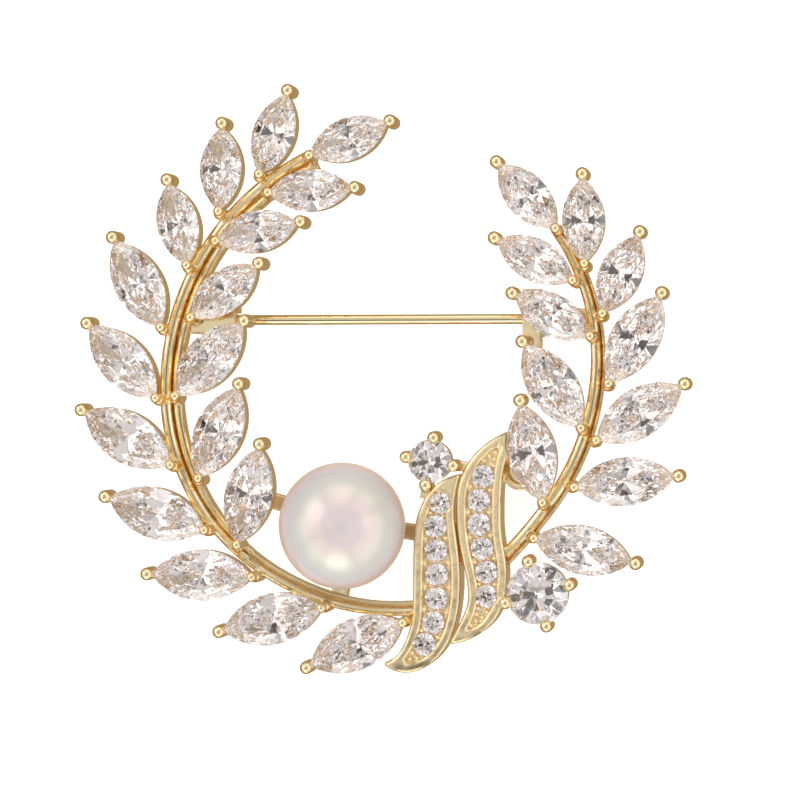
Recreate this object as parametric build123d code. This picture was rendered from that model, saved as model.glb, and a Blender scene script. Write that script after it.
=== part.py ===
"""A pearl wreath brooch: two stems of marquise stones, two pave ribbons, a pearl and a hinged pin.

Millimetres. The brooch lies on its back on Z = 0, +Z is towards the viewer and +Y is up in front view.
"""
import math
import os
from collections import namedtuple

from build123d import *

# Heights above the surface that the brooch lies on
PIN_HEIGHT = 1.5
FRAME_BACK = 2.6
BASKET_BASE = 3.3
RIBBON_POCKET_TOP = 4.2
GIRDLE_HEIGHT = 5.4

# Stems: a domed bar, with a lower lip along its right-hand side beyond a groove
BAR_WIDTH = 0.9
BAR_HEIGHT = 1.9
BAR_DOME_SHARE = 0.28
GROOVE_WIDTH = 0.12
GROOVE_HEIGHT = 0.45
LIP_WIDTH = 0.7
LIP_HEIGHT = 1.35
LIP_DOME_SHARE = 0.18
SECTION_PITCH = 4.0

# Stem routes: a start point, a heading in degrees, a length and its arcs
LEFT_STEM_START = (3.6, -19.0)
LEFT_STEM_HEADING = 188
LEFT_STEM_LENGTH = 56.6
RIGHT_STEM_START = (8.2, -16.0)
RIGHT_STEM_HEADING = 40
RIGHT_STEM_LENGTH = 31.8
# Columns: share of the stem's length, turn in degrees
LEFT_STEM_ARCS = [(0.285, -46), (0.28, -51), (0.435, -66)]
RIGHT_STEM_ARCS = [(0.28, 16.5), (0.33, 30), (0.39, 39)]
# Columns: share of the stem's length, and there the shares of the bar's and the lip's full width
LEFT_STEM_WIDTHS = [(0, 0.7, 0.45), (0.28, 0.75, 0.55), (0.5, 1, 1), (1, 1, 1)]
RIGHT_STEM_WIDTHS = [(0, 1, 0.25), (0.4, 1, 0.25), (1, 0.8, 0.2)]

# Stones: marquise sizes, round sizes and how they are cut
Marquise = namedtuple("Marquise", "length width")
BROAD = Marquise(8.5, 4.2)
LARGE = Marquise(8.2, 3.95)
SMALL = Marquise(6.95, 3.45)
SMALL_ROUND_DIAMETER = 3.5
LARGE_ROUND_DIAMETER = 5.0
PAVE_DIAMETER = 1.85
PAVE_GAP = 0.12
GIRDLE_THICKNESS = 0.14
CROWN_SHARE = 0.15
DEPTH_SHARE = 0.43
MAIN_SLOPE = 34
MARQUISE_LOWER_BREAK = 3
ROUND_LOWER_BREAK = 1
UPPER_BREAK = 8
STAR_BREAK = 12
SEAT_CLEARANCE = 0.04
# Flats on each side of a marquise: at its girdle, its main facets and its star facets
MARQUISE_GIRDLE_FLATS = 9
MARQUISE_MAINS = 5
MARQUISE_STARS = 4
ROUND_FLATS = 16
PAVE_FLATS = 12

# Leaves, in columns: name, stem, share of its length, offset to the left in bar widths, lean in degrees, size
Leaf = namedtuple("Leaf", "name stem share offset lean gem")

# Settings
WALL_INSET = 0.06
WALL_WIDTH = 0.5
WALL_BELOW_GIRDLE = 0.15
BALL_ABOVE_GIRDLE = 0.3
POST_BELOW_BALL = 0.2
# Prongs, in columns: the ball's diameter, its centre's reach past the stone's edge, the same for the post,
# and the height of the post's foot
Prong = namedtuple("Prong", "ball ball_reach post post_reach foot")
TIP_PRONG = Prong(1.1, 0.28, 1.1, 0.3, BASKET_BASE)
BASE_PRONG = Prong(0.85, 0.02, 1.0, 0.22, FRAME_BACK)
ROUND_PRONG = Prong(1.05, 0.22, 1.0, 0.25, BASKET_BASE)

# Round settings
ROUND_ARM_INSET = 0.4
ROUND_ARM_REACH = 1.45
ROUND_ARM_WIDTH = 0.8
ROUND_ARM_HEIGHT = 1.2
SMALL_ROUND_DISTANCE = 0.7
SMALL_ROUND_GAP = 0.75
SMALL_ROUND_TURN = -10
SMALL_ROUND_ARMS = (0, 270)
LARGE_ROUND_DISTANCE = 14.0
LARGE_ROUND_GAP = 1.65
LARGE_ROUND_TURN = 16
LARGE_ROUND_ARMS = (180,)

# Ribbons: where each meets its stem, its length and its full width
LEFT_RIBBON_ANCHOR = (4.45, -18.6)
LEFT_RIBBON_LENGTH = 15.5
LEFT_RIBBON_WIDTH = 3.86
RIGHT_RIBBON_ANCHOR = (8.5, -15.6)
RIGHT_RIBBON_LENGTH = 17.4
RIGHT_RIBBON_WIDTH = 3.64
RIBBON_FLOOR_HEIGHT = 5.35
RIM_WIDTH = 0.8
RIM_HEIGHT = 0.35
RIM_BEVEL = 0.15
RIBBON_SHELL = 0.75
BEAD_DIAMETER = 0.36
BEAD_SPACING = 0.6
GRAIN_SPACING = 0.52
# Columns: shares of the ribbon's length across and up from its anchor, share of its full width
LEFT_RIBBON_ROWS = [
    (0.119, 0.690, 0.06),
    (0.036, 0.580, 0.57),
    (0.000, 0.465, 0.80),
    (-0.003, 0.335, 0.93),
    (0.003, 0.194, 1.00),
    (0.000, 0.026, 0.99),
    (-0.022, -0.110, 0.91),
    (-0.077, -0.222, 0.78),
    (-0.165, -0.295, 0.50),
    (-0.274, -0.309, 0.05),
]
RIGHT_RIBBON_ROWS = [
    (0.138, 0.655, 0.06),
    (0.066, 0.577, 0.48),
    (0.006, 0.483, 0.80),
    (-0.026, 0.379, 0.98),
    (-0.032, 0.259, 1.00),
    (-0.023, 0.138, 0.98),
    (0.000, 0.017, 0.95),
    (0.006, -0.098, 0.84),
    (-0.020, -0.201, 0.71),
    (-0.086, -0.282, 0.46),
    (-0.161, -0.345, 0.06),
]
PAVE_GIRDLE_HEIGHT = 5.5
BRIDGE_LEFT_DISTANCE = 6.3
BRIDGE_RIGHT_DISTANCE = 10.2
BRIDGE_WIDTH = 3.4
BRIDGE_HEIGHT = 1.2
LEFT_PAVE_START = 2.75
LEFT_PAVE_COUNT = 7
RIGHT_PAVE_START = 4.65
RIGHT_PAVE_COUNT = 6

# Pearl and its mount
PEARL_DIAMETER = 10.4
PEARL_CENTRE = (-3.3, -12.06)
PEARL_SEAT = 0.5
PEARL_CLEARANCE = 0.05
CUP_DIAMETER = 5.2
CUP_DEPTH = 0.6
PEG_DIAMETER = 0.9
PEG_LENGTH = 5.0
STRUT_WIDTH = 1.3
STRUT_HEIGHT = 0.8
STRUT_LEAF = "leaf_m6"
STRUT_STEM_SHARE = 0.135
STRUT_RIBBON_DISTANCE = 5.6

# Open cup that joins the right ribbon to a leaf, with its place on the leaf's axes
LINK_LEAF = "leaf_n4"
LINK_ALONG = -1.12
LINK_ACROSS = 1.24
LINK_DIAMETER = 3.5
LINK_WALL = 0.5
LINK_HEIGHT = 1.3
LINK_FLOOR = 0.4

# Pin, hinge and catch
HINGE_SHARE = 0.675
HINGE_SETBACK = 3.5
CATCH_SETBACK = 5.0
PIN_DIAMETER = 0.85
PIN_OVERHANG = 1.9
PIN_POINT = 2.2
KNUCKLE_DIAMETER = 2.0
KNUCKLE_WIDTH = 1.0
EAR_WIDTH = 0.6
EAR_CLEARANCE = 0.08
RIVET_DIAMETER = 0.8
RIVET_CLEARANCE = 0.04
RIVET_HEAD = 0.25
RIVET_HEAD_DIAMETER = 1.2
PLATE_THICKNESS = 0.8
FOOT_LENGTH = 3.0
FOOT_CORNER = 0.9
PIN_TIP = 0.16
CATCH_LENGTH = 1.6
CATCH_BORE = 1.25
CATCH_MOUTH = 1.1
CATCH_PAD_WIDTH = 4.8


def walk(place, length, turn):
    """Follow an arc of a length from a place (x, y, heading) while turning by an angle in degrees."""
    x, y, heading = place
    chord = length if turn == 0 else 2 * length / math.radians(turn) * math.sin(math.radians(turn / 2))
    direction = math.radians(heading + turn / 2)
    return x + chord * math.cos(direction), y + chord * math.sin(direction), heading + turn


def beside(place, offset):
    """The point at an offset to the left of a place."""
    x, y, heading = place
    return x - offset * math.sin(math.radians(heading)), y + offset * math.cos(math.radians(heading))


class Stem:
    """A flat route of tangent arcs that carries leaves."""

    def __init__(self, start, heading, length, arcs, rows):
        self.start = (*start, heading)
        self.length = length
        self.arcs = arcs
        self.rows = rows

    def place(self, share):
        place = self.start
        for part, turn in self.arcs:
            step = min(share, part)
            place = walk(place, step * self.length, turn * step / part)
            share -= step
        return place

    def share_at_height(self, y):
        """The share at which a rising stem passes a height."""
        low, high = 0.0, 1.0
        for _ in range(30):
            middle = (low + high) / 2
            if self.place(middle)[1] < y:
                low = middle
            else:
                high = middle
        return low

    def widths(self, share):
        """The widths of the bar and the lip at a share."""
        for (low, bar, lip), (high, next_bar, next_lip) in zip(self.rows, self.rows[1:]):
            if share <= high:
                way = (share - low) / (high - low)
                return BAR_WIDTH * (bar + (next_bar - bar) * way), LIP_WIDTH * (lip + (next_lip - lip) * way)

    def section(self, share):
        """The stepped section of the stem at a share, with its bar domed and a lip to the right."""
        x, y, heading = self.place(share)
        bar_width, lip_width = self.widths(share)
        turn = math.radians(heading)
        plane = Plane(
            origin=(x, y, FRAME_BACK),
            x_dir=(-math.sin(turn), math.cos(turn), 0),
            z_dir=(math.cos(turn), math.sin(turn), 0),
        )
        half = bar_width / 2
        shoulder = BAR_HEIGHT - BAR_DOME_SHARE * bar_width
        lip_start = -half - GROOVE_WIDTH
        lip_end = lip_start - lip_width
        lip_shoulder = LIP_HEIGHT - LIP_DOME_SHARE * lip_width
        edges = [
            Line((half, 0), (half, shoulder)),
            ThreePointArc((half, shoulder), (0, BAR_HEIGHT), (-half, shoulder)),
            Polyline((-half, shoulder), (-half, GROOVE_HEIGHT), (lip_start, GROOVE_HEIGHT),
                     (lip_start, lip_shoulder)),
            ThreePointArc((lip_start, lip_shoulder), ((lip_start + lip_end) / 2, LIP_HEIGHT),
                          (lip_end, lip_shoulder)),
            Polyline((lip_end, lip_shoulder), (lip_end, 0), (half, 0)),
        ]
        return plane * make_face(edges)

    def bar(self):
        steps = round(self.length / SECTION_PITCH)
        return loft([self.section(step / steps) for step in range(steps + 1)])


LEFT = Stem(LEFT_STEM_START, LEFT_STEM_HEADING, LEFT_STEM_LENGTH, LEFT_STEM_ARCS, LEFT_STEM_WIDTHS)
RIGHT = Stem(RIGHT_STEM_START, RIGHT_STEM_HEADING, RIGHT_STEM_LENGTH, RIGHT_STEM_ARCS, RIGHT_STEM_WIDTHS)

LEAVES = [
    Leaf("leaf_l1", LEFT, 0.035, 0.89, 23, BROAD),
    Leaf("leaf_l2", LEFT, 0.152, 0.53, 30, BROAD),
    Leaf("leaf_l3", LEFT, 0.261, 0.8, 33, BROAD),
    Leaf("leaf_l4", LEFT, 0.356, 0.62, 33, BROAD),
    Leaf("leaf_l5", LEFT, 0.461, 0.44, 39, BROAD),
    Leaf("leaf_l6", LEFT, 0.559, 0.62, 41, LARGE),
    Leaf("leaf_l7", LEFT, 0.660, 0.8, 42, LARGE),
    Leaf("leaf_l8", LEFT, 0.756, 0.53, 41, SMALL),
    Leaf("leaf_l9", LEFT, 0.845, 0.89, 39, SMALL),
    Leaf("leaf_l10", LEFT, 0.923, 0.8, 34, SMALL),
    Leaf("leaf_lt", LEFT, 0.999, -0.18, -3, SMALL),
    Leaf("leaf_m1", LEFT, 0.917, -1.07, -35, SMALL),
    Leaf("leaf_m2", LEFT, 0.809, -0.62, -42, SMALL),
    Leaf("leaf_m3", LEFT, 0.686, -1.69, -35, SMALL),
    Leaf("leaf_m4", LEFT, 0.561, -1.24, -45, LARGE),
    Leaf("leaf_m5", LEFT, 0.426, -1.51, -50, LARGE),
    Leaf("leaf_m6", LEFT, 0.307, -0.71, -61, LARGE),
    Leaf("leaf_rt", RIGHT, 0.999, -0.18, 6, SMALL),
    Leaf("leaf_r1", RIGHT, 0.887, -0.89, -23, SMALL),
    Leaf("leaf_r2", RIGHT, 0.757, -1.07, -36, SMALL),
    Leaf("leaf_r3", RIGHT, 0.587, -1.33, -25, LARGE),
    Leaf("leaf_r4", RIGHT, 0.446, -1.33, -39, LARGE),
    Leaf("leaf_r5", RIGHT, 0.321, -1.24, -54, LARGE),
    Leaf("leaf_r6", RIGHT, 0.160, -0.98, -63, LARGE),
    Leaf("leaf_n1", RIGHT, 0.859, 0.71, 40, SMALL),
    Leaf("leaf_n2", RIGHT, 0.705, 0.36, 55, SMALL),
    Leaf("leaf_n3", RIGHT, 0.464, 0.36, 51, LARGE),
    Leaf("leaf_n4", RIGHT, 0.245, 0.44, 48, LARGE),
]


def leaf_location(leaf):
    """Where a leaf's stone is centred, with local +X along the leaf from its base to its tip."""
    place = leaf.stem.place(leaf.share)
    base_x, base_y = beside(place, leaf.offset * BAR_WIDTH)
    angle = place[2] + leaf.lean
    x, y, _ = walk((base_x, base_y, angle), leaf.gem.length / 2, 0)
    return Pos(x, y, 0) * Rot(0, 0, angle)


def leaf_named(name):
    return next(leaf for leaf in LEAVES if leaf.name == name)


def marquise_arc(gem):
    """The radius of a marquise outline's two arcs and how far each centre lies beyond the long axis."""
    half_length = gem.length / 2
    half_width = gem.width / 2
    radius = (half_length**2 + half_width**2) / (2 * half_width)
    return radius, radius - half_width


def marquise_sides(gem, count):
    """Directions and distances of a number of flats along each side of a marquise."""
    radius, centre = marquise_arc(gem)
    spread = math.asin(gem.length / 2 / radius)
    sides = []
    for step in range(count):
        tilt = spread * ((2 * step + 1) / count - 1)
        distance = radius - centre * math.cos(tilt)
        sides += [(90 + math.degrees(tilt), distance), (270 + math.degrees(tilt), distance)]
    return sides


def round_sides(radius, count, turn=0):
    """Directions and distances of a number of flats round a circle."""
    return [(turn + 360 * step / count, radius) for step in range(count)]


def slice_facet(body, side, height, lift, grow):
    """Cut a body back to the facet that meets a side at a height; lift is its normal's angle above level."""
    direction, distance = side
    turn = math.radians(direction)
    rise = math.radians(lift)
    normal = Vector(math.cos(turn) * math.cos(rise), math.sin(turn) * math.cos(rise), math.sin(rise))
    point = Vector(distance * math.cos(turn), distance * math.sin(turn), height) + normal * grow
    return split(body, bisect_by=Plane(origin=point, z_dir=normal), keep=Keep.BOTTOM)


def faceted_gem(width, girdle, mains, stars, lower_break, grow):
    """A cut stone about its girdle: a table, star, main and girdle facets above, two tiers below."""
    crown = CROWN_SHARE * width
    depth = DEPTH_SHARE * width
    edge = GIRDLE_THICKNESS / 2
    top = edge + crown + grow
    bottom = -edge - depth - grow
    side_length = 6 * max(distance for _, distance in girdle)
    body = Pos(0, 0, (bottom + top) / 2) * Box(side_length, side_length, top - bottom)
    for side in girdle:
        main_lift = math.degrees(math.atan2(side[1], depth))
        body = slice_facet(body, side, 0, 0, grow)
        body = slice_facet(body, side, -edge, lower_break - main_lift, grow)
        body = slice_facet(body, side, edge, 90 - MAIN_SLOPE - UPPER_BREAK, grow)
    for side in mains:
        body = slice_facet(body, side, -edge, -math.degrees(math.atan2(side[1], depth)), grow)
        body = slice_facet(body, side, edge, 90 - MAIN_SLOPE, grow)
    table_inset = crown / math.tan(math.radians(MAIN_SLOPE))
    for direction, distance in stars:
        star = (direction, distance - table_inset)
        body = slice_facet(body, star, edge + crown, 90 - MAIN_SLOPE + STAR_BREAK, grow)
    return body


def marquise_gem(gem, grow=0.0):
    girdle = marquise_sides(gem, MARQUISE_GIRDLE_FLATS)
    mains = marquise_sides(gem, MARQUISE_MAINS)
    stars = marquise_sides(gem, MARQUISE_STARS)
    body = faceted_gem(gem.width, girdle, mains, stars, MARQUISE_LOWER_BREAK, grow)
    return Pos(0, 0, GIRDLE_HEIGHT) * body


def round_gem(diameter, count, grow=0.0):
    radius = diameter / 2
    mains = round_sides(radius, count // 2, 180 / count)
    stars = round_sides(radius, count // 2, 180 / count + 360 / count)
    return faceted_gem(diameter, round_sides(radius, count), mains, stars, ROUND_LOWER_BREAK, grow)


def marquise_face(gem, grow):
    """The marquise outline, two arcs that meet at the tips, grown outwards by an amount."""
    radius, centre = marquise_arc(gem)
    tip = math.sqrt((radius + grow)**2 - centre**2)
    side = radius + grow - centre
    return make_face([
        ThreePointArc((-tip, 0), (0, side), (tip, 0)),
        ThreePointArc((tip, 0), (0, -side), (-tip, 0)),
    ])


def raise_face(face, bottom, top):
    return extrude(Pos(0, 0, bottom) * face, top - bottom, dir=(0, 0, 1))


def domed_post(diameter, bottom, shoulder):
    """An upright round post with a half-round head."""
    radius = diameter / 2
    bevel = radius * math.sqrt(0.5)
    profile = make_face([
        Polyline((0, shoulder + radius), (0, bottom), (radius, bottom), (radius, shoulder)),
        ThreePointArc((radius, shoulder), (bevel, shoulder + bevel), (0, shoulder + radius)),
    ])
    return revolve(Plane.XZ * profile, Axis.Z)


def make_prong(prong):
    """A prong past a stone's edge at local X = 0: a ball over the edge, and its post a little further out."""
    centre = GIRDLE_HEIGHT + BALL_ABOVE_GIRDLE
    shoulder = centre - POST_BELOW_BALL - prong.post / 2
    return [
        Pos(prong.ball_reach, 0, centre) * Sphere(prong.ball / 2),
        Pos(prong.post_reach, 0, 0) * domed_post(prong.post, prong.foot, shoulder),
    ]


def marquise_setting(gem):
    """A wall under the stone's edge, and a prong at each tip."""
    wall = marquise_face(gem, -WALL_INSET) - marquise_face(gem, -WALL_INSET - WALL_WIDTH)
    half = gem.length / 2
    return [
        raise_face(wall, BASKET_BASE, GIRDLE_HEIGHT - WALL_BELOW_GIRDLE),
        *[Pos(half, 0, 0) * piece for piece in make_prong(TIP_PRONG)],
        *[Pos(-half, 0, 0) * Rot(0, 0, 180) * piece for piece in make_prong(BASE_PRONG)],
    ]


def round_setting(diameter, turn, arms):
    """A wall under a round stone's edge, four ball prongs round it, and arms out under some of them."""
    radius = diameter / 2 - WALL_INSET
    wall = Circle(radius) - Circle(radius - WALL_WIDTH)
    pieces = [raise_face(wall, BASKET_BASE, GIRDLE_HEIGHT - WALL_BELOW_GIRDLE)]
    for angle in (0, 90, 180, 270):
        spot = Rot(0, 0, turn + angle) * Pos(diameter / 2, 0, 0)
        pieces += [spot * piece for piece in make_prong(ROUND_PRONG)]
    arm = Box(ROUND_ARM_INSET + ROUND_ARM_REACH, ROUND_ARM_WIDTH, ROUND_ARM_HEIGHT)
    middle = (diameter + ROUND_ARM_REACH - ROUND_ARM_INSET) / 2
    for angle in arms:
        pieces.append(Rot(0, 0, turn + angle) * Pos(middle, 0, BASKET_BASE + ROUND_ARM_HEIGHT / 2) * arm)
    return pieces


class Ribbon:
    """A curved leaf-shaped plate given by stations along its spine."""

    def __init__(self, anchor, length, width, rows):
        self.spine = [(anchor[0] + across * length, anchor[1] + up * length) for across, up, _ in rows]
        self.halves = [share * width / 2 for _, _, share in rows]
        self.curve = Spline(*self.spine)

    def normal(self, index):
        x1, y1 = self.spine[max(index - 1, 0)]
        x2, y2 = self.spine[min(index + 1, len(self.spine) - 1)]
        run = math.hypot(x2 - x1, y2 - y1)
        return (y1 - y2) / run, (x2 - x1) / run

    def edge(self, side, inset):
        points = []
        for index, (x, y) in enumerate(self.spine):
            reach = self.halves[index] - inset
            if reach > 0:
                across, up = self.normal(index)
                points.append((x + side * reach * across, y + side * reach * up))
        return points

    def face(self, inset=0.0):
        one = self.edge(1, inset)
        other = self.edge(-1, inset)
        return make_face([Spline(*one), Line(one[-1], other[-1]), Spline(*other), Line(other[0], one[0])])

    def half_width(self, distance):
        """The half width at the station nearest to a distance along the spine."""
        point = self.curve.position_at(distance / self.curve.length)
        runs = [math.hypot(point.X - x, point.Y - y) for x, y in self.spine]
        near = sorted(range(len(runs)), key=runs.__getitem__)[:2]
        total = runs[near[0]] + runs[near[1]]
        return (self.halves[near[0]] * runs[near[1]] + self.halves[near[1]] * runs[near[0]]) / total

    def place(self, distance):
        """A point on the spine at a distance from its top end, with the heading there."""
        share = distance / self.curve.length
        point = self.curve.position_at(share)
        tangent = self.curve.tangent_at(share)
        return point.X, point.Y, math.degrees(math.atan2(tangent.Y, tangent.X))


LEFT_RIBBON = Ribbon(LEFT_RIBBON_ANCHOR, LEFT_RIBBON_LENGTH, LEFT_RIBBON_WIDTH, LEFT_RIBBON_ROWS)
RIGHT_RIBBON = Ribbon(RIGHT_RIBBON_ANCHOR, RIGHT_RIBBON_LENGTH, RIGHT_RIBBON_WIDTH, RIGHT_RIBBON_ROWS)


def pave_places(ribbon, start, count):
    """Where a row of pave stones sits along a ribbon."""
    pitch = PAVE_DIAMETER + PAVE_GAP
    return [ribbon.place(start + pitch * step) for step in range(count)]


def ribbon_beads(ribbon, start, count):
    """Rows of beads between the stones, and rows of grains that fill both tapered ends."""
    pitch = PAVE_DIAMETER + PAVE_GAP
    rows = [(start + pitch * (step + 0.5), BEAD_SPACING) for step in range(count - 1)]
    last = start + pitch * (count - 1)
    step = 1
    while start - PAVE_DIAMETER / 2 - GRAIN_SPACING * (step - 0.5) > GRAIN_SPACING:
        rows.append((start - PAVE_DIAMETER / 2 - GRAIN_SPACING * (step - 0.5), GRAIN_SPACING))
        step += 1
    step = 1
    while last + PAVE_DIAMETER / 2 + GRAIN_SPACING * (step - 0.5) < ribbon.curve.length - GRAIN_SPACING:
        rows.append((last + PAVE_DIAMETER / 2 + GRAIN_SPACING * (step - 0.5), GRAIN_SPACING))
        step += 1
    beads = []
    for distance, spacing in rows:
        place = ribbon.place(distance)
        reach = max(ribbon.half_width(distance) - RIM_WIDTH - BEAD_DIAMETER / 2, 0)
        gaps = round(2 * reach / spacing)
        for step in range(gaps + 1):
            x, y = beside(place, reach * (2 * step / gaps - 1) if gaps else 0)
            beads.append(Pos(x, y, RIBBON_FLOOR_HEIGHT + BEAD_DIAMETER / 4) * Sphere(BEAD_DIAMETER / 2))
    return beads


def ribbon_plate(ribbon):
    """A ribbon's hollow-backed plate, with a bevelled rim round its trough of stones."""
    rim_top = RIBBON_FLOOR_HEIGHT + RIM_HEIGHT
    plate = raise_face(ribbon.face(), FRAME_BACK, rim_top)
    plate -= raise_face(ribbon.face(RIM_WIDTH), RIBBON_FLOOR_HEIGHT, rim_top + RIM_HEIGHT)
    plate -= raise_face(ribbon.face(RIBBON_SHELL), 0, RIBBON_POCKET_TOP)
    rim_edges = plate.edges().filter_by_position(Axis.Z, rim_top - RIM_BEVEL / 2, rim_top + RIM_BEVEL / 2)
    return chamfer(rim_edges, RIM_BEVEL)


def link_cup():
    """A small open cup behind the lowest inner leaf, soldered to the right ribbon's side."""
    on_floor = (Align.CENTER, Align.CENTER, Align.MIN)
    cup = Cylinder(LINK_DIAMETER / 2, LINK_HEIGHT, align=on_floor)
    cup -= Pos(0, 0, LINK_FLOOR) * Cylinder(LINK_DIAMETER / 2 - LINK_WALL, LINK_HEIGHT, align=on_floor)
    return leaf_location(leaf_named(LINK_LEAF)) * Pos(LINK_ALONG, LINK_ACROSS, FRAME_BACK) * cup


def ribbon_bridge():
    """A solder strip behind the ribbons, across the narrow gap between them."""
    x1, y1, _ = LEFT_RIBBON.place(BRIDGE_LEFT_DISTANCE)
    x2, y2, _ = RIGHT_RIBBON.place(BRIDGE_RIGHT_DISTANCE)
    strip = Box(math.hypot(x2 - x1, y2 - y1), BRIDGE_WIDTH, BRIDGE_HEIGHT)
    turn = math.degrees(math.atan2(y2 - y1, x2 - x1))
    return Pos((x1 + x2) / 2, (y1 + y2) / 2, FRAME_BACK + BRIDGE_HEIGHT / 2) * Rot(0, 0, turn) * strip


def pearl_location():
    return Pos(*PEARL_CENTRE, PEARL_SEAT + PEARL_DIAMETER / 2)


def strut(target):
    """A sloping bar from the pearl's cup up to the back of the frame at a target point."""
    x, y = PEARL_CENTRE
    reach = math.hypot(target[0] - x, target[1] - y)
    angle = math.degrees(math.atan2(target[1] - y, target[0] - x))
    start = CUP_DIAMETER / 4
    top = FRAME_BACK + STRUT_HEIGHT
    profile = make_face(Polyline(
        (start, 0), (2 * start, 0), (reach, FRAME_BACK), (reach, top), (reach - STRUT_WIDTH, top),
        (start, STRUT_HEIGHT), (start, 0)))
    return Pos(x, y, 0) * Rot(0, 0, angle) * extrude(Plane.XZ * profile, STRUT_WIDTH / 2, both=True)


def pearl_mount():
    """The cup and peg under the pearl, and three struts out to a leaf, a stem and a ribbon."""
    x, y = PEARL_CENTRE
    on_floor = (Align.CENTER, Align.CENTER, Align.MIN)
    cup = Pos(x, y, 0) * Cylinder(CUP_DIAMETER / 2, PEARL_SEAT + CUP_DEPTH, align=on_floor)
    cup -= pearl_location() * Sphere(PEARL_DIAMETER / 2 + PEARL_CLEARANCE)
    peg = Pos(x, y, 0) * Cylinder(PEG_DIAMETER / 2, PEARL_SEAT + PEG_LENGTH, align=on_floor)
    leaf = leaf_location(leaf_named(STRUT_LEAF)).position
    struts = [
        strut((leaf.X, leaf.Y)),
        strut(LEFT.place(STRUT_STEM_SHARE)),
        strut(LEFT_RIBBON.place(STRUT_RIBBON_DISTANCE)),
    ]
    return [cup, *struts], peg


def pearl():
    bore = Pos(*PEARL_CENTRE, 0) * Cylinder(
        PEG_DIAMETER / 2 + PEARL_CLEARANCE, PEARL_SEAT + PEG_LENGTH + PEARL_CLEARANCE,
        align=(Align.CENTER, Align.CENTER, Align.MIN))
    return pearl_location() * Sphere(PEARL_DIAMETER / 2) - bore


def foot_profile():
    """An upright plate's outline about the pin's axis, flat below and with two rounded lower corners."""
    half = FOOT_LENGTH / 2
    corner = FOOT_CORNER
    bevel = corner * (1 - math.sqrt(0.5))
    top = FRAME_BACK + PLATE_THICKNESS / 2
    return make_face([
        Polyline((-half, corner), (-half, top), (half, top), (half, corner)),
        ThreePointArc((half, corner), (half - bevel, bevel), (half - corner, 0)),
        Line((half - corner, 0), (corner - half, 0)),
        ThreePointArc((corner - half, 0), (bevel - half, bevel), (-half, corner)),
    ])


def across_y(radius, width, x):
    """A round bar along Y on the pin's axis, centred at a point along X."""
    return Pos(x, PIN_Y, PIN_HEIGHT) * Rot(90, 0, 0) * Cylinder(radius, width)


def hinge_mount():
    """The plate from the left stem, with two ears drilled for the rivet."""
    stem_x = LEFT.place(HINGE_SHARE)[0]
    span = KNUCKLE_WIDTH + 2 * (EAR_CLEARANCE + EAR_WIDTH)
    run = HINGE_X + FOOT_LENGTH / 2 - stem_x
    plate = Pos(stem_x + run / 2, PIN_Y, FRAME_BACK + PLATE_THICKNESS / 2) * Box(run, span, PLATE_THICKNESS)
    ears = [plate]
    for side in (-1, 1):
        ear = extrude(Plane.XZ * foot_profile(), EAR_WIDTH / 2, both=True)
        offset = side * (KNUCKLE_WIDTH / 2 + EAR_CLEARANCE + EAR_WIDTH / 2)
        ears.append(Pos(HINGE_X, PIN_Y + offset, 0) * ear)
    return ears, across_y(RIVET_DIAMETER / 2 + RIVET_CLEARANCE, 2 * span, HINGE_X)


def catch_mount():
    """The plate from the right stem, with a pad and a hook that is open towards the back."""
    stem_x = RIGHT.place(RIGHT.share_at_height(PIN_Y))[0]
    height = FRAME_BACK + PLATE_THICKNESS / 2
    run = stem_x - CATCH_X
    plate = Pos(CATCH_X + run / 2, PIN_Y, height) * Box(run, CATCH_LENGTH, PLATE_THICKNESS)
    pad = Pos(CATCH_X, PIN_Y, height) * Box(CATCH_LENGTH, CATCH_PAD_WIDTH, PLATE_THICKNESS)
    hook = extrude(Plane.YZ * foot_profile(), CATCH_LENGTH / 2, both=True)
    bore = Pos(CATCH_X, PIN_Y, PIN_HEIGHT) * Rot(0, 90, 0) * Cylinder(CATCH_BORE / 2, 2 * CATCH_LENGTH)
    mouth = Pos(CATCH_X, PIN_Y, PIN_HEIGHT / 2) * Box(2 * CATCH_LENGTH, CATCH_MOUTH, PIN_HEIGHT)
    return [plate, pad, Pos(CATCH_X, PIN_Y, 0) * hook - bore - mouth]


def pin_stem():
    """The wire pin with its knuckle, lying shut along X."""
    knuckle = across_y(KNUCKLE_DIAMETER / 2, KNUCKLE_WIDTH, HINGE_X)
    start = HINGE_X + (KNUCKLE_DIAMETER + RIVET_DIAMETER) / 4
    shaft_end = CATCH_X + CATCH_LENGTH / 2 + PIN_OVERHANG - PIN_POINT / 2
    wire = Pos(start, PIN_Y, PIN_HEIGHT) * Rot(0, 90, 0) * revolve(Plane.XZ * make_face(Polyline(
        (0, 0), (PIN_DIAMETER / 2, 0), (PIN_DIAMETER / 2, shaft_end - start),
        (PIN_TIP / 2, shaft_end - start + PIN_POINT), (0, shaft_end - start + PIN_POINT), (0, 0))), Axis.Z)
    return knuckle + wire - across_y(RIVET_DIAMETER / 2 + RIVET_CLEARANCE, 2 * KNUCKLE_WIDTH, HINGE_X)


def hinge_rivet():
    span = KNUCKLE_WIDTH + 2 * (EAR_CLEARANCE + EAR_WIDTH + RIVET_CLEARANCE)
    rivet = across_y(RIVET_DIAMETER / 2, span + RIVET_HEAD, HINGE_X)
    for side in (-1, 1):
        offset = side * (span + RIVET_HEAD) / 2
        rivet += Pos(0, offset, 0) * across_y(RIVET_HEAD_DIAMETER / 2, RIVET_HEAD, HINGE_X)
    return rivet


def one_solid(pieces, holes):
    """Fuse pieces into one body and cut the holes out of it."""
    body = pieces[0].fuse(*pieces[1:])
    return body.cut(*holes) if holes else body


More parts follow.
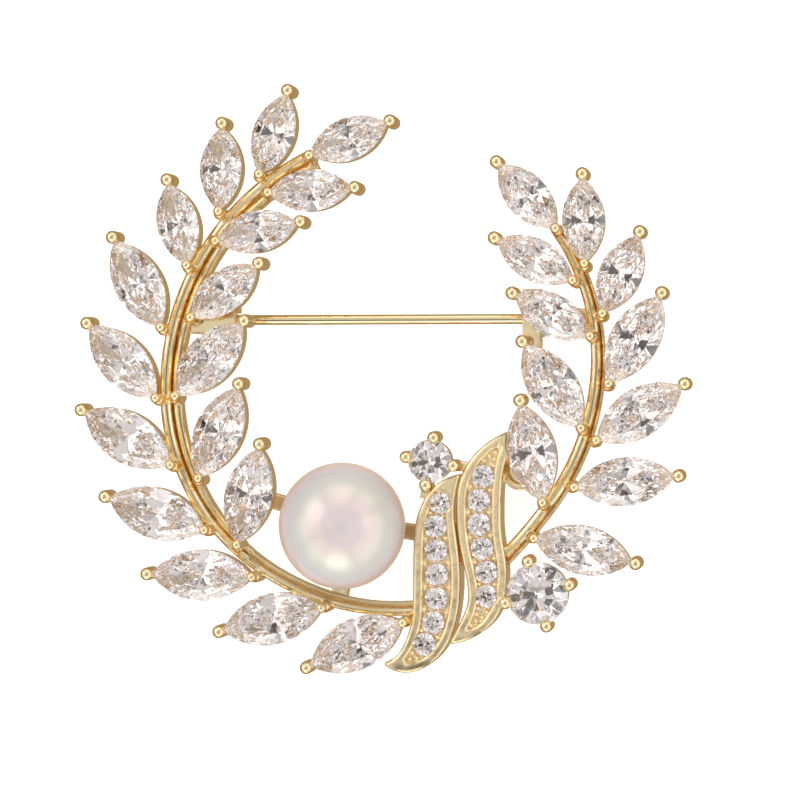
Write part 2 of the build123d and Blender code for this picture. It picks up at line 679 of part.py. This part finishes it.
PIN_Y = LEFT.place(HINGE_SHARE)[1]
HINGE_X = LEFT.place(HINGE_SHARE)[0] + HINGE_SETBACK
CATCH_X = RIGHT.place(RIGHT.share_at_height(PIN_Y))[0] - CATCH_SETBACK

nodes = {"pearl": pearl(), "pin_stem": pin_stem(), "hinge_rivet": hinge_rivet()}

gems = {gem: marquise_gem(gem) for gem in (BROAD, LARGE, SMALL)}
seats = {gem: marquise_gem(gem, SEAT_CLEARANCE) for gem in gems}
settings = {gem: one_solid(marquise_setting(gem), [seats[gem]]) for gem in gems}
holes = []
carried = {LEFT: [], RIGHT: []}
for leaf in LEAVES:
    location = leaf_location(leaf)
    nodes[leaf.name] = location * gems[leaf.gem]
    carried[leaf.stem].append(location * settings[leaf.gem])
    holes.append(location * seats[leaf.gem])
metal = [stem.bar().fuse(*carried[stem]) for stem in (LEFT, RIGHT)]

small_spot = beside(LEFT_RIBBON.place(SMALL_ROUND_DISTANCE), -SMALL_ROUND_DIAMETER / 2 - SMALL_ROUND_GAP)
large_spot = beside(RIGHT_RIBBON.place(LARGE_ROUND_DISTANCE), LARGE_ROUND_DIAMETER / 2 + LARGE_ROUND_GAP)
for name, diameter, turn, arms, spot in [
    ("round_stone_small", SMALL_ROUND_DIAMETER, SMALL_ROUND_TURN, SMALL_ROUND_ARMS, small_spot),
    ("round_stone_large", LARGE_ROUND_DIAMETER, LARGE_ROUND_TURN, LARGE_ROUND_ARMS, large_spot),
]:
    nodes[name] = Pos(*spot, GIRDLE_HEIGHT) * round_gem(diameter, ROUND_FLATS)
    holes.append(Pos(*spot, GIRDLE_HEIGHT) * round_gem(diameter, ROUND_FLATS, SEAT_CLEARANCE))
    metal.append(Pos(*spot, 0) * one_solid(round_setting(diameter, turn, arms), []))

pave = round_gem(PAVE_DIAMETER, PAVE_FLATS)
pave_seat = round_gem(PAVE_DIAMETER, PAVE_FLATS, SEAT_CLEARANCE)
for name, ribbon, start, count in [
    ("pave_stones_left", LEFT_RIBBON, LEFT_PAVE_START, LEFT_PAVE_COUNT),
    ("pave_stones_right", RIGHT_RIBBON, RIGHT_PAVE_START, RIGHT_PAVE_COUNT),
]:
    spots = [Pos(x, y, PAVE_GIRDLE_HEIGHT) for x, y, _ in pave_places(ribbon, start, count)]
    nodes[name] = Compound(children=[spot * pave for spot in spots])
    holes += [spot * pave_seat for spot in spots]
    metal.append(ribbon_plate(ribbon).fuse(*ribbon_beads(ribbon, start, count)))

mount, peg = pearl_mount()
ears, rivet_hole = hinge_mount()
metal += [ribbon_bridge(), link_cup(), *mount, *ears, *catch_mount()]
holes += [pearl_location() * Sphere(PEARL_DIAMETER / 2 + PEARL_CLEARANCE), rivet_hole]
nodes["wreath_frame"] = one_solid(metal, holes) + peg

# The origin lies under the middle of the brooch, on the surface that it rests on
middle = nodes["wreath_frame"].bounding_box().center()
print("joint", HINGE_X - middle.X, PIN_Y - middle.Y, PIN_HEIGHT, "pearl", PEARL_CENTRE[0] - middle.X,
      PEARL_CENTRE[1] - middle.Y)

os.makedirs("parts", exist_ok=True)
for name, shape in nodes.items():
    shape = Pos(-middle.X, -middle.Y, 0) * shape
    shape.label = name
    export_step(shape, f"parts/{name}.step")
    print(name, round(shape.volume, 2), len(shape.solids()), shape.is_valid)
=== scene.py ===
"""Dress the pearl wreath brooch: plated gold, cut stones and a pearl on a white table."""
import math

import bpy
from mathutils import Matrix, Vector

MM = 0.001
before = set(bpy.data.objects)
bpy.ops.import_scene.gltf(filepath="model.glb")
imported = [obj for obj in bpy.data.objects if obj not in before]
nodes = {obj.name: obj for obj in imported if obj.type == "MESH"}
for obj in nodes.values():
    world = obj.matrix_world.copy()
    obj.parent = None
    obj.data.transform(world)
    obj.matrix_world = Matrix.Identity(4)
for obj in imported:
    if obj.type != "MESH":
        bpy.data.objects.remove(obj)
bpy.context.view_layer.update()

# The photograph looks almost straight down on the brooch, leaning a few degrees from its right
CAMERA_LEAN = 8
CAMERA_DISTANCE = 250 * MM
CAMERA_TARGET = Vector((1.671, -1.745, 5.0)) * MM
CAMERA_CLIP = 10 * MM
VIEW_WIDTH = 65.6 * MM
# In mm, as Blender's camera has it
SENSOR_WIDTH = 36

# The light table, its side in metres
TABLE_SIZE = 0.9
TABLE_COLOUR = "F8F8F8"
TABLE_ROUGHNESS = 0.7
TABLE_GLOW = 0.75
GLOW_COLOUR = "FFFFFF"
# What a mirror on the table shows of it is painted shade: dimmer than the camera sees it, and
# tinted in the brooch's gold as a painted reflection of it
PAINTED_SHADE_GLOW = 0.5
PAINTED_SHADE_COLOUR = "EBD3A8"

# In degrees
HALF_TURN = 180
FULL_TURN = 360
# The tent's brightness at each angle in degrees from the lens, which is a dark spot in it. The
# dark ring round the lens panel draws the thin dark lines along the gold
TENT_LEVELS = [(0, 0.03), (10, 0.04), (13, 0.8), (29, 0.78), (33, 0.35), (37, 0.35), (42, 1.4),
               (78, 1.25), (88, 0.4), (100, 0.3), (125, 0.9)]
# Dark gaps between the tent's panels: degrees round it from +X, width in degrees
TENT_GAPS = [(25, 12), (62, 8), (118, 12), (160, 8), (205, 12), (245, 8), (292, 12)]
GAP_LEVEL = 0.12
# The gaps fade out between these heights, which are 0 at the horizon and 1 straight up
GAP_HEIGHTS = (0.75, 0.92)
# Soft boxes seen in the tent, in columns: degrees round it from +X, degrees from straight up, half
# width in degrees, brightness. The last one is a dark flag, which draws the line along the pin
SOFT_BOXES = [
    (150, 50, 20, 1.2),
    (15, 55, 13, 0.9),
    (265, 68, 20, 1.3),
    (85, 66, 12, 0.8),
    (232, 16, 10, -0.78),
]
# Degrees over which a box's edge fades
BOX_EDGE = 4
# Light has to find its way out of the stones
LIGHT_BOUNCES = 32

# The gold's making, in mm: the length of its ripples along each axis, their depth, and the radius
# that polishing gives an edge. Cast metal ripples alike all ways, and drawn wire along its length
CAST_RIPPLE = (1.6, 1.6, 1.6)
CAST_DEPTH = 0.1
CAST_EDGE = 0.28
WIRE_RIPPLE = (8.0, 0.25, 0.25)
WIRE_DEPTH = 0.004
WIRE_EDGE = 0.1
RIPPLE_STRENGTH = 0.3
RIPPLE_DETAIL = 1
EDGE_SAMPLES = 6
# Roughness and tone of the best and worst polished patches, the patches' size in mm, and the
# levels of their noise that stand for best and worst
CAST_ROUGHNESS = (0.06, 0.15)
WIRE_ROUGHNESS = (0.03, 0.07)
GOLD_TONES = ("F8E3B8", "F4DCAC")
RUB_SIZE = 0.25
RUB_DETAIL = 3
RUB_LEVELS = (0.35, 0.65)

# The pearl, in mm: its clouds of two tones, its fine growth marks and their depth
CLOUD_SIZE = 4.5
CLOUD_DETAIL = 1
CLOUD_TONES = ("E2DAD4", "DAD2D2")
GROWTH_SIZE = 0.6
GROWTH_DETAIL = 2
GROWTH_DEPTH = 0.01
GROWTH_STRENGTH = 0.15
# Its gloss. The stack of layers mirrors more than one surface would, so its IOR is above that of
# nacre. The film's thickness is in nanometres
SHEEN_TINT = "FFE2D0"
NACRE_GLOSS = {
    "Roughness": 0.3,
    "IOR": 2.4,
    "Sheen Weight": 1.0,
    "Sheen Roughness": 0.4,
    "Thin Film Thickness": 573,
    "Thin Film IOR": 1.15,
    "Coat Weight": 1.0,
    "Coat Roughness": 0.25,
}

# The stones' substance
STONE_COLOUR = "F2E9E7"
STONE_GLOSS = {"Roughness": 0.0, "IOR": 2.16, "Transmission Weight": 1.0}
# The finest facets of the stones' cut: their size in mm, and how far they tilt above and below the
# girdle. The change comes where a surface points this far down
FINE_FACET = 0.55
MARQUISE_TILTS = (0.03, 0.12)
ROUND_TILTS = (0.0, 0.07)
PAVE_TILTS = (0.05, 0.16)
BELOW_GIRDLE = (-0.2, -0.3)
# A cell's tilt is its random colour less the middle of all colours
CELL_MIDDLE = (0.5, 0.5, 0.5)

# Places of the colour sockets on Blender's Mix node, where several sockets share a name
MIX_FACTOR, MIX_FIRST, MIX_SECOND, MIX_RESULT = 0, 6, 7, 2


def linear(hex_colour):
    """The linear colour of an sRGB hex value."""
    channels = [int(hex_colour[i:i + 2], 16) / 255 for i in (0, 2, 4)]
    return (*[c / 12.92 if c <= 0.04045 else ((c + 0.055) / 1.055) ** 2.4 for c in channels], 1.0)


def add_node(tree, kind, inputs=None, **properties):
    """Add a shader node. An input, by name or place, is another node's output or a fixed value."""
    node = tree.nodes.new(kind)
    for name, value in properties.items():
        setattr(node, name, value)
    for name, value in (inputs or {}).items():
        if isinstance(value, bpy.types.NodeSocket):
            tree.links.new(value, node.inputs[name])
        else:
            node.inputs[name].default_value = value
    return node


def vector_math(tree, operation, *operands):
    """Add a vector operation on other nodes' outputs or fixed vectors."""
    return add_node(tree, "ShaderNodeVectorMath", dict(enumerate(operands)), operation=operation)


def map_range(tree, value, source, target):
    """Carry a value from one range to another, held at its ends."""
    node = add_node(tree, "ShaderNodeMapRange",
                    {"Value": value, "From Min": source[0], "From Max": source[1],
                     "To Min": target[0], "To Max": target[1]})
    return node.outputs["Result"]


def blend(tree, blend_type, factor, first, second):
    """Blend two colours by a factor."""
    node = add_node(tree, "ShaderNodeMix",
                    {MIX_FACTOR: factor, MIX_FIRST: first, MIX_SECOND: second},
                    data_type="RGBA", blend_type=blend_type)
    return node.outputs[MIX_RESULT]


def mix_shaders(tree, factor, first, second):
    """The first shader where the factor is 0, and the second where it is 1."""
    return add_node(tree, "ShaderNodeMixShader", {0: factor, 1: first.outputs[0],
                                                  2: second.outputs[0]})


def noise(tree, vector, size, detail):
    """Noise from 0 to 1, its size given in the vector's units and its detail in octaves."""
    node = add_node(tree, "ShaderNodeTexNoise",
                    {"Vector": vector, "Scale": 1 / size, "Detail": detail})
    return node.outputs["Fac"]


def new_material(name):
    """A material and its node tree, which is empty."""
    material = bpy.data.materials.new(name)
    material.use_nodes = True
    material.node_tree.nodes.clear()
    return material, material.node_tree


def finish_material(tree, shader):
    add_node(tree, "ShaderNodeOutputMaterial", {"Surface": shader.outputs[0]})


def gold_plate(name, ripple_size, ripple_depth, edge_radius, roughness):
    """Pale gold plated on polished brass: a mirror with soft ripples and rounded edges.

    The ripple's size is given along each axis, because drawing a wire stretches its marks.
    """
    material, tree = new_material(name)
    place = add_node(tree, "ShaderNodeTexCoord").outputs["Object"]
    stretched = vector_math(tree, "DIVIDE", place, [size * MM for size in ripple_size])
    ripple = noise(tree, stretched.outputs["Vector"], 1, RIPPLE_DETAIL)
    rub = noise(tree, place, RUB_SIZE * MM, RUB_DETAIL)
    edge = add_node(tree, "ShaderNodeBevel", {"Radius": edge_radius * MM}, samples=EDGE_SAMPLES)
    bump = add_node(tree, "ShaderNodeBump",
                    {"Height": ripple, "Normal": edge.outputs["Normal"],
                     "Strength": RIPPLE_STRENGTH, "Distance": ripple_depth * MM})
    best, worst = (linear(tone) for tone in GOLD_TONES)
    metal = add_node(tree, "ShaderNodeBsdfPrincipled",
                     {"Base Color": blend(tree, "MIX", rub, best, worst),
                      "Normal": bump.outputs["Normal"],
                      "Roughness": map_range(tree, rub, RUB_LEVELS, roughness),
                      "Metallic": 1.0})
    finish_material(tree, metal)
    return material


def cut_zirconia(cut, tilts):
    """Colourless cubic zirconia: it bends light strongly and breaks up what it shows.

    The finest facets of the cut are drawn here, as cells that each tilt the surface another way.
    """
    material, tree = new_material(f"{cut}_cubic_zirconia")
    place = add_node(tree, "ShaderNodeTexCoord").outputs["Object"]
    cell = add_node(tree, "ShaderNodeTexVoronoi",
                    {"Vector": place, "Scale": 1 / (FINE_FACET * MM)})
    tilt = vector_math(tree, "SUBTRACT", cell.outputs["Color"], CELL_MIDDLE)
    normal = add_node(tree, "ShaderNodeNewGeometry").outputs["True Normal"]
    facing = add_node(tree, "ShaderNodeTexCoord").outputs["Normal"]
    upward = add_node(tree, "ShaderNodeSeparateXYZ", {"Vector": facing}).outputs["Z"]
    amount = map_range(tree, upward, BELOW_GIRDLE, tilts)
    lean = add_node(tree, "ShaderNodeVectorMath", {0: tilt.outputs["Vector"], "Scale": amount},
                    operation="SCALE")
    tilted = vector_math(tree, "ADD", normal, lean.outputs["Vector"])
    unit = vector_math(tree, "NORMALIZE", tilted.outputs["Vector"])
    stone = add_node(tree, "ShaderNodeBsdfPrincipled",
                     {"Normal": unit.outputs["Vector"], "Base Color": linear(STONE_COLOUR),
                      **STONE_GLOSS})
    finish_material(tree, stone)
    return material


def pearl_nacre():
    """Cultured nacre: a cream body under many thin layers.

    They give it a soft gloss with a pink middle in a cream ring, and a warm glow at its rim.
    """
    material, tree = new_material("pearl_nacre")
    place = add_node(tree, "ShaderNodeTexCoord").outputs["Object"]
    cloud = noise(tree, place, CLOUD_SIZE * MM, CLOUD_DETAIL)
    first, second = (linear(tone) for tone in CLOUD_TONES)
    growth = noise(tree, place, GROWTH_SIZE * MM, GROWTH_DETAIL)
    bump = add_node(tree, "ShaderNodeBump",
                    {"Height": growth, "Strength": GROWTH_STRENGTH,
                     "Distance": GROWTH_DEPTH * MM})
    nacre = add_node(tree, "ShaderNodeBsdfPrincipled",
                     {"Base Color": blend(tree, "MIX", cloud, first, second),
                      "Normal": bump.outputs["Normal"], "Sheen Tint": linear(SHEEN_TINT),
                      **NACRE_GLOSS})
    finish_material(tree, nacre)
    return material


def white_table():
    """A white acrylic light table, which shows no shadow.

    From below one looks through it at the back of the brooch. In mirrors it shows painted shade: a
    dimmer, gold-tinted glow.
    """
    material, tree = new_material("white_table")
    table = add_node(tree, "ShaderNodeBsdfPrincipled",
                     {"Base Color": linear(TABLE_COLOUR), "Roughness": TABLE_ROUGHNESS,
                      "Emission Color": linear(GLOW_COLOUR), "Emission Strength": TABLE_GLOW})
    # Painted shade: mirrors see a dim gold-tinted glow instead of the table, for the shade and
    # gold close under the brooch
    painted_mirror_shade = add_node(tree, "ShaderNodeEmission",
                        {"Color": linear(PAINTED_SHADE_COLOUR), "Strength": PAINTED_SHADE_GLOW})
    in_mirror = add_node(tree, "ShaderNodeLightPath").outputs["Is Glossy Ray"]
    from_above = mix_shaders(tree, in_mirror, table, painted_mirror_shade)
    from_below = add_node(tree, "ShaderNodeBsdfTransparent")
    below = add_node(tree, "ShaderNodeNewGeometry").outputs["Backfacing"]
    finish_material(tree, mix_shaders(tree, below, from_above, from_below))
    return material


def set_material(obj, material):
    """Put a material on an object's slots, and leave its mesh as it is."""
    for slot in obj.material_slots:
        slot.link = "OBJECT"
        slot.material = material


def aimed(around, from_up):
    """The direction at an angle round the tent and an angle down from straight up, in degrees."""
    turn = math.radians(around)
    down = math.radians(from_up)
    return math.cos(turn) * math.sin(down), math.sin(turn) * math.sin(down), math.cos(down)


def place_camera():
    data = bpy.data.cameras.new("camera")
    data.sensor_width = SENSOR_WIDTH
    data.lens = SENSOR_WIDTH * CAMERA_DISTANCE / VIEW_WIDTH
    data.clip_start = CAMERA_CLIP
    camera = bpy.data.objects.new("camera", data)
    camera.location = CAMERA_TARGET + Vector(aimed(0, CAMERA_LEAN)) * CAMERA_DISTANCE
    camera.rotation_euler = (0, math.radians(CAMERA_LEAN), 0)
    bpy.context.scene.collection.objects.link(camera)
    bpy.context.scene.camera = camera


def add_ramp(tree, factor, stops):
    """A ramp of grey levels, given as positions from 0 to 1 and their levels."""
    node = add_node(tree, "ShaderNodeValToRGB", {"Fac": factor})
    ramp = node.color_ramp
    ramp.elements.remove(ramp.elements[0])
    for index, (position, level) in enumerate(stops):
        element = ramp.elements[0] if index == 0 else ramp.elements.new(position)
        element.position = position
        element.color = (level, level, level, 1)
    return node.outputs["Color"]


def angle_from(tree, direction, aim):
    """The angle in radians between the viewed direction and a fixed one."""
    cosine = vector_math(tree, "DOT_PRODUCT", direction, aim).outputs["Value"]
    return add_node(tree, "ShaderNodeMath", {0: cosine}, operation="ARCCOSINE").outputs[0]


def tent_panels(tree, direction):
    """The panels' brightness round the tent, which is dark at each gap between them."""
    stops = [(0.0, 1.0)]
    for angle, width in TENT_GAPS:
        # Blender's radial gradient is in the middle of its range at +X
        middle = (angle / FULL_TURN + 0.5) % 1
        half = width / 2 / FULL_TURN
        stops += [(middle - half, 1.0), (middle - half / 2, GAP_LEVEL),
                  (middle + half / 2, GAP_LEVEL), (middle + half, 1.0)]
    turned = add_node(tree, "ShaderNodeTexGradient", {"Vector": direction}, gradient_type="RADIAL")
    return add_ramp(tree, turned.outputs["Fac"], sorted(stops))


def light_studio():
    """A white tent round the lens, with dark gaps between its panels, soft boxes and a flag."""
    world = bpy.data.worlds.new("studio")
    bpy.context.scene.world = world
    world.use_nodes = True
    tree = world.node_tree
    tree.nodes.clear()
    direction = add_node(tree, "ShaderNodeTexCoord").outputs["Generated"]
    from_lens = angle_from(tree, direction, aimed(0, CAMERA_LEAN))
    share = add_node(tree, "ShaderNodeMath", {0: from_lens, 1: math.pi}, operation="DIVIDE")
    stops = [(angle / HALF_TURN, level) for angle, level in TENT_LEVELS]
    level = add_ramp(tree, share.outputs[0], stops)
    height = add_node(tree, "ShaderNodeSeparateXYZ", {"Vector": direction}).outputs["Z"]
    gaps_shown = map_range(tree, height, GAP_HEIGHTS, (1.0, 0.0))
    glow = blend(tree, "MULTIPLY", gaps_shown, level, tent_panels(tree, direction))
    for turn, down, half, brightness in SOFT_BOXES:
        away = angle_from(tree, direction, aimed(turn, down))
        edge = (math.radians(half - BOX_EDGE), math.radians(half))
        glow = blend(tree, "ADD", 1.0, glow, map_range(tree, away, edge, (brightness, 0.0)))
    tent = add_node(tree, "ShaderNodeBackground", {"Color": glow})
    add_node(tree, "ShaderNodeOutputWorld", {"Surface": tent.outputs[0]})


def lay_table():
    half = TABLE_SIZE / 2
    mesh = bpy.data.meshes.new("table")
    corners = [(-half, -half, 0), (half, -half, 0), (half, half, 0), (-half, half, 0)]
    mesh.from_pydata(corners, [], [(0, 1, 2, 3)])
    table = bpy.data.objects.new("table", mesh)
    bpy.context.scene.collection.objects.link(table)
    table.data.materials.append(white_table())


cast_gold = gold_plate("cast_gold_plate", CAST_RIPPLE, CAST_DEPTH, CAST_EDGE, CAST_ROUGHNESS)
wire_gold = gold_plate("drawn_gold_plated_wire", WIRE_RIPPLE, WIRE_DEPTH, WIRE_EDGE,
                       WIRE_ROUGHNESS)
# The material of each CAD node, by the start of the node's name
node_materials = {
    "wreath_frame": cast_gold,
    "pin_stem": wire_gold,
    "hinge_rivet": wire_gold,
    "leaf_": cut_zirconia("marquise", MARQUISE_TILTS),
    "round_stone_": cut_zirconia("round", ROUND_TILTS),
    "pave_stones_": cut_zirconia("pave", PAVE_TILTS),
    "pearl": pearl_nacre(),
}
for name, obj in nodes.items():
    for start, material in node_materials.items():
        if name.startswith(start):
            set_material(obj, material)

lay_table()
light_studio()
place_camera()
view = bpy.context.scene.view_settings
view.view_transform = "Standard"
cycles = bpy.context.scene.cycles
cycles.use_denoising = True
cycles.max_bounces = LIGHT_BOUNCES
cycles.glossy_bounces = LIGHT_BOUNCES
cycles.transmission_bounces = LIGHT_BOUNCES
